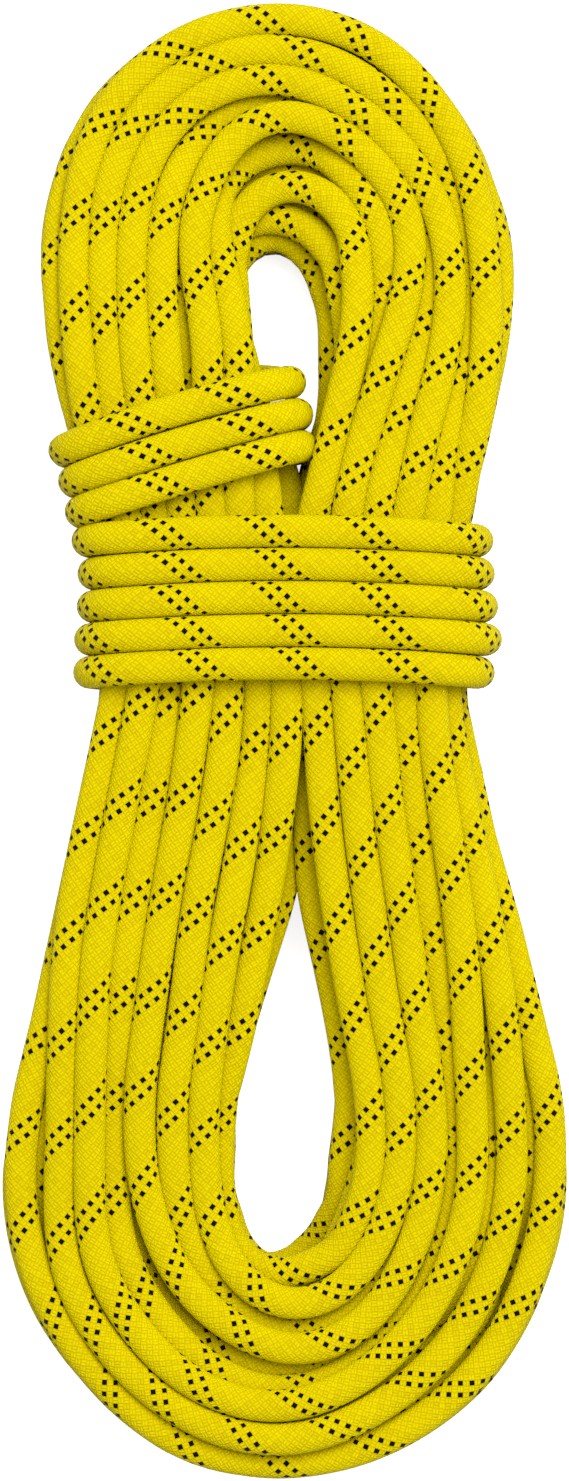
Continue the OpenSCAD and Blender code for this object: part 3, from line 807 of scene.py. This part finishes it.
def tube(name, line, side, up, along, roll, sides, lead, bores):
    """A closed tube of rope along the line. A bore is how many rings at that end hold the core.

    The UV map "Rope" has turns round the rope and leads along it. "OFBake" packs the same skin
    in strips side by side.
    """
    angle = np.arange(sides) * 2 * math.pi / sides

    # rings from the inside of the start's bore, out, along and in again
    count = len(line)
    order = [(i, BORE_R) for i in range(bores[0], -1, -1)] if bores[0] else []
    order += [(i, ROPE_R) for i in range(count)]
    order += [(i, BORE_R) for i in range(count - 1, count - 2 - bores[1], -1)] if bores[1] else []
    points = np.concatenate([
        line[i] + radius * (np.cos(angle)[:, None] * side[i] + np.sin(angle)[:, None] * up[i])
        for i, radius in order
    ])
    skin = 2 * math.pi * ROPE_R * STRIP_SLACK
    strips = max(1, round(math.sqrt((along[-1] - along[0]) / skin)))
    per_strip = math.ceil(len(order) / strips)
    faces, rope_uv, bake_uv = [], [], []

    def place(row, k, band):
        """Adds a corner's place to both maps: at side k of a row, for a face of that band of rows."""
        i = order[row][0]
        strip, local = divmod(band, per_strip)
        across = STRIP_GAP + (1 - 2 * STRIP_GAP) * k / sides
        rope_uv.extend((k / sides + roll[i], along[i] / lead))
        bake_uv.extend(((local + row - band + 1) / (per_strip + 2), (strip + across) / strips))

    for row in range(len(order) - 1):
        near, far = row * sides, (row + 1) * sides
        for k in range(sides):
            beside = (k + 1) % sides
            faces.append((near + k, far + k, far + beside, near + beside))
            for corner_row, corner in ((row, k), (row + 1, k), (row + 1, k + 1), (row, k + 1)):
                place(corner_row, corner, row)
    last = len(order) - 1
    for row, band, way in ((0, 0, range(sides - 1, -1, -1)), (last, last - 1, range(sides))):
        faces.append(tuple(row * sides + k for k in way))
        for k in way:
            place(row, k, band)

    mesh = bpy.data.meshes.new(name)
    mesh.from_pydata((points / PER_METRE).tolist(), [], faces)
    for layer, values in (("Rope", rope_uv), ("OFBake", bake_uv)):
        mesh.uv_layers.new(name=layer).data.foreach_set("uv", np.array(values, np.float32))
    mesh.polygons.foreach_set("use_smooth", [len(face) == 4 for face in faces])
    mesh.update()
    obj = bpy.data.objects.new(name, mesh)
    bpy.context.scene.collection.objects.link(obj)
    return obj


def settled_rope(sizes):
    """The middles of the settled rope's rings, how far along it each lies, and each stretch's first ring."""
    points, starts = rope_points()
    rows, marks = smooth_line(points, LINE_STEP)
    x = settle(rows, sizes.rounds)
    full = np.r_[0, np.cumsum(np.linalg.norm(np.diff(x, axis=0), axis=1))]
    laid = np.linspace(0, marks[-1], len(x))
    smooth, _ = smooth_line(x, FINE_STEP)
    fine = np.r_[0, np.cumsum(np.linalg.norm(np.diff(smooth, axis=0), axis=1))]
    along = np.linspace(0, fine[-1], int(round(fine[-1] / (sizes.ring_step * PER_METRE))) + 1)
    line = np.stack([np.interp(along, fine, column) for column in smooth.T], 1)

    def ring_at(point):
        """The ring nearest to a laid point, or to a place between two of them."""
        mark = np.interp(point, np.arange(len(marks)), marks)
        return int(round(np.interp(mark, laid, full) / full[-1] * (len(line) - 1)))

    return line, along, {name: ring_at(point) for name, point in starts.items()}


def rope_stretches(cuts):
    """The rope's pieces as (name, first ring, the nodes it replaces)."""
    laps = [cuts["laps"], *[cuts[f"lap_{lap}"] for lap in range(LAPS_PER_PIECE, LAPS - 1, LAPS_PER_PIECE)]]
    waist = [f"waist_wrap_{n + 1}" for n in range(WAIST_WRAPS)]
    limb = [f"limb_wrap_{n + 1}" for n in range(LIMB_WRAPS)]
    return [
        ("rope_start_end", 0, ("start_sheath", "start_run")),
        *[(f"rope_laps_{n + 1}", first, LAP_NODES) for n, first in enumerate(laps)],
        ("rope_waist_wraps", cuts["waist_wraps"], ("lead_in", *waist)),
        ("rope_limb_wraps", cuts["limb_wraps"], ("crossover", *limb, "finish_run", "finish_sheath")),
    ]


SENSOR = 36.0                   # the camera's sensor width in its own millimetres
FLOOR_HALF = 4.0
FLOOR_DROP = 0.0006             # the floor lies this far under the hank, which may sink in a little
SEARCH = 45                     # how far from an image point its thing is looked for, in pixels
SEARCH_STEP = 0.5


class HANK_OT_camera(bpy.types.Operator):
    """Set the camera up above the hank, as in the photograph"""
    bl_idname = "hank.camera"
    bl_label = "Camera"

    def execute(self, context):
        studio = context.scene.hank_studio
        data = bpy.data.cameras.new("camera")
        data.sensor_fit = "AUTO"
        data.sensor_width = SENSOR
        data.lens = studio.camera_lens
        data.clip_end = 20.0
        camera = bpy.data.objects.new("camera", data)
        camera.location = (studio.aim_x, studio.aim_y, studio.aim_z + studio.camera_distance)
        context.scene.collection.objects.link(camera)
        context.scene.camera = camera
        return {"FINISHED"}


class HANK_OT_rope(bpy.types.Operator):
    """Lay the whole rope: its ends, laps and wraps, settled against each other"""
    bl_idname = "hank.rope"
    bl_label = "Rope"

    def execute(self, context):
        sizes, studio = context.scene.hank_sizes, context.scene.hank_studio
        material = braided_polyamide(sizes, context.scene.hank_colours)
        lead = sizes.lead * PER_METRE
        line, along, cuts = settled_rope(sizes)
        side, up = carried_frames(line)
        # the middle of the two black rows lies one and a half yarn pairs round the sheath
        eye_height = (studio.camera_distance + studio.aim_z) * PER_METRE
        roll = sheath_turn(line, side, up, along, lead, 1.5 / sizes.pairs, eye_height)
        stretches = rope_stretches(cuts)
        lasts = [first for _, first, _ in stretches[1:]] + [len(line) - 1]
        bore = int(round((END_L - TIP_L) / (sizes.ring_step * PER_METRE)))
        total = 0.0
        for (name, first, nodes), last in zip(stretches, lasts):
            part = slice(first, last + 1)
            bores = (bore if first == 0 else 0, bore if last == len(line) - 1 else 0)
            piece = tube(name, line[part], side[part], up[part], along[part], roll[part],
                         sizes.sides, lead, bores)
            piece.data.materials.append(material)
            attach(piece, "root")
            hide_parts(*nodes)
            length = (along[last] - along[first]) / PER_METRE
            total += length
            ROPE_PIECES.append(piece)
        print(f"rope: {total:.2f} m in {len(stretches)} stretches")
        return {"FINISHED"}


class HANK_OT_ends(bpy.types.Operator):
    """Finish the core, marker tape, sleeve and fused tip at both ends"""
    bl_idname = "hank.ends"
    bl_label = "Rope ends"

    def execute(self, context):
        colours = context.scene.hank_colours
        finishes = {
            "core": twisted_polyamide(colours), "marker_tape": film_tape(colours),
            "sleeve": shrunk_sleeve(colours), "tip": melted_polyamide(colours)}
        for end in ("start", "finish"):
            for kind, material in finishes.items():
                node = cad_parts[f"{end}_{kind}"]
                node.data.materials.clear()
                node.data.materials.append(material)
        return {"FINISHED"}


class HANK_OT_stage(bpy.types.Operator):
    """Set up the white sweep, the soft key light and the room light"""
    bl_idname = "hank.stage"
    bl_label = "Stage"

    def execute(self, context):
        scene, studio, colours = context.scene, context.scene.hank_studio, context.scene.hank_colours
        scene.view_settings.view_transform = "Standard"
        mesh = bpy.data.meshes.new("floor")
        corners = [(x * FLOOR_HALF, y * FLOOR_HALF, 0) for x, y in ((-1, -1), (1, -1), (1, 1), (-1, 1))]
        mesh.from_pydata(corners, [], [(0, 1, 2, 3)])
        floor = bpy.data.objects.new("floor", mesh)
        floor.location.z = -FLOOR_DROP
        scene.collection.objects.link(floor)
        mesh.materials.append(studio_white(colours))
        light = bpy.data.lights.new("key_light", "AREA")
        light.shape, light.size = "SQUARE", studio.key_size
        light.energy = studio.key_power
        key = bpy.data.objects.new("key_light", light)
        key.location = studio.key_place
        key.rotation_euler = (-key.location).to_track_quat("-Z", "Y").to_euler()
        scene.collection.objects.link(key)
        world = bpy.data.worlds.new("room")
        world.use_nodes = True
        tree = world.node_tree
        tree.nodes.clear()
        seen = rays_of(tree, "Is Camera Ray", "Is Transmission Ray")
        room = add(tree, "ShaderNodeBackground", {"Color": (1, 1, 1, 1), "Strength": studio.sky})
        white = add(tree, "ShaderNodeBackground", {"Color": (1, 1, 1, 1), "Strength": 1.0})
        mix = add(tree, "ShaderNodeMixShader", {0: seen, 1: room.outputs[0], 2: white.outputs[0]})
        add(tree, "ShaderNodeOutputWorld", {0: mix.outputs[0]})
        scene.world = world
        return {"FINISHED"}


class HANK_PT_panel(bpy.types.Panel):
    """The hank's settings and steps"""
    bl_idname = "HANK_PT_panel"
    bl_label = "Rope Hank"
    bl_space_type = "VIEW_3D"
    bl_region_type = "UI"
    bl_category = "Rope Hank"

    def draw(self, context):
        layout = self.layout
        for group in (context.scene.hank_sizes, context.scene.hank_colours, context.scene.hank_studio):
            box = layout.box()
            for name in group.bl_rna.properties.keys():
                if name not in ("rna_type", "name"):
                    box.prop(group, name)
        for step in STEPS:
            layout.operator(step.bl_idname)


STEPS = (HANK_OT_camera, HANK_OT_rope, HANK_OT_ends, HANK_OT_stage)
GROUPS = {"hank_sizes": HankSizes, "hank_colours": HankColours, "hank_studio": HankStudio}


def register():
    """Registers the classes and hangs their settings on the scene."""
    for cls in (*GROUPS.values(), *STEPS, HANK_PT_panel):
        bpy.utils.register_class(cls)
    for name, group in GROUPS.items():
        setattr(bpy.types.Scene, name, bpy.props.PointerProperty(type=group))


def unregister():
    """Takes the settings and classes away again."""
    for name in GROUPS:
        delattr(bpy.types.Scene, name)
    for cls in (HANK_PT_panel, *STEPS, *reversed(tuple(GROUPS.values()))):
        bpy.utils.unregister_class(cls)


def write_points():
    """Casts rays from the camera along each image point's way across the frame until one meets the rope;
    nothing is kept of them.
    """
    camera = bpy.context.scene.camera
    data, base = camera.data, camera.location
    scale = FRAME_L * data.lens / data.sensor_width
    verts, faces = [], []
    for piece in ROPE_PIECES:
        start = len(verts)
        verts += [v.co[:] for v in piece.data.vertices]
        faces += [[start + i for i in p.vertices] for p in piece.data.polygons]
    tree = BVHTree.FromPolygons(verts, faces)
    for name, ((x, y), (dx, dy)) in FEATURE_POINTS.items():
        for step in np.arange(-SEARCH, SEARCH, SEARCH_STEP):
            ray = Vector((x + dx * step - FRAME_W / 2 + data.shift_x * FRAME_L,
                          FRAME_H / 2 - y - dy * step + data.shift_y * FRAME_L, -scale))
            if tree.ray_cast(base, ray.normalized())[0] is not None:
                break


def main():
    """Builds the hank in its stage and casts rays at the image points."""
    register()
    for step in ("camera", "rope", "ends", "stage"):
        getattr(bpy.ops.hank, step)()
    write_points()


if __name__ == "__main__":
    main()
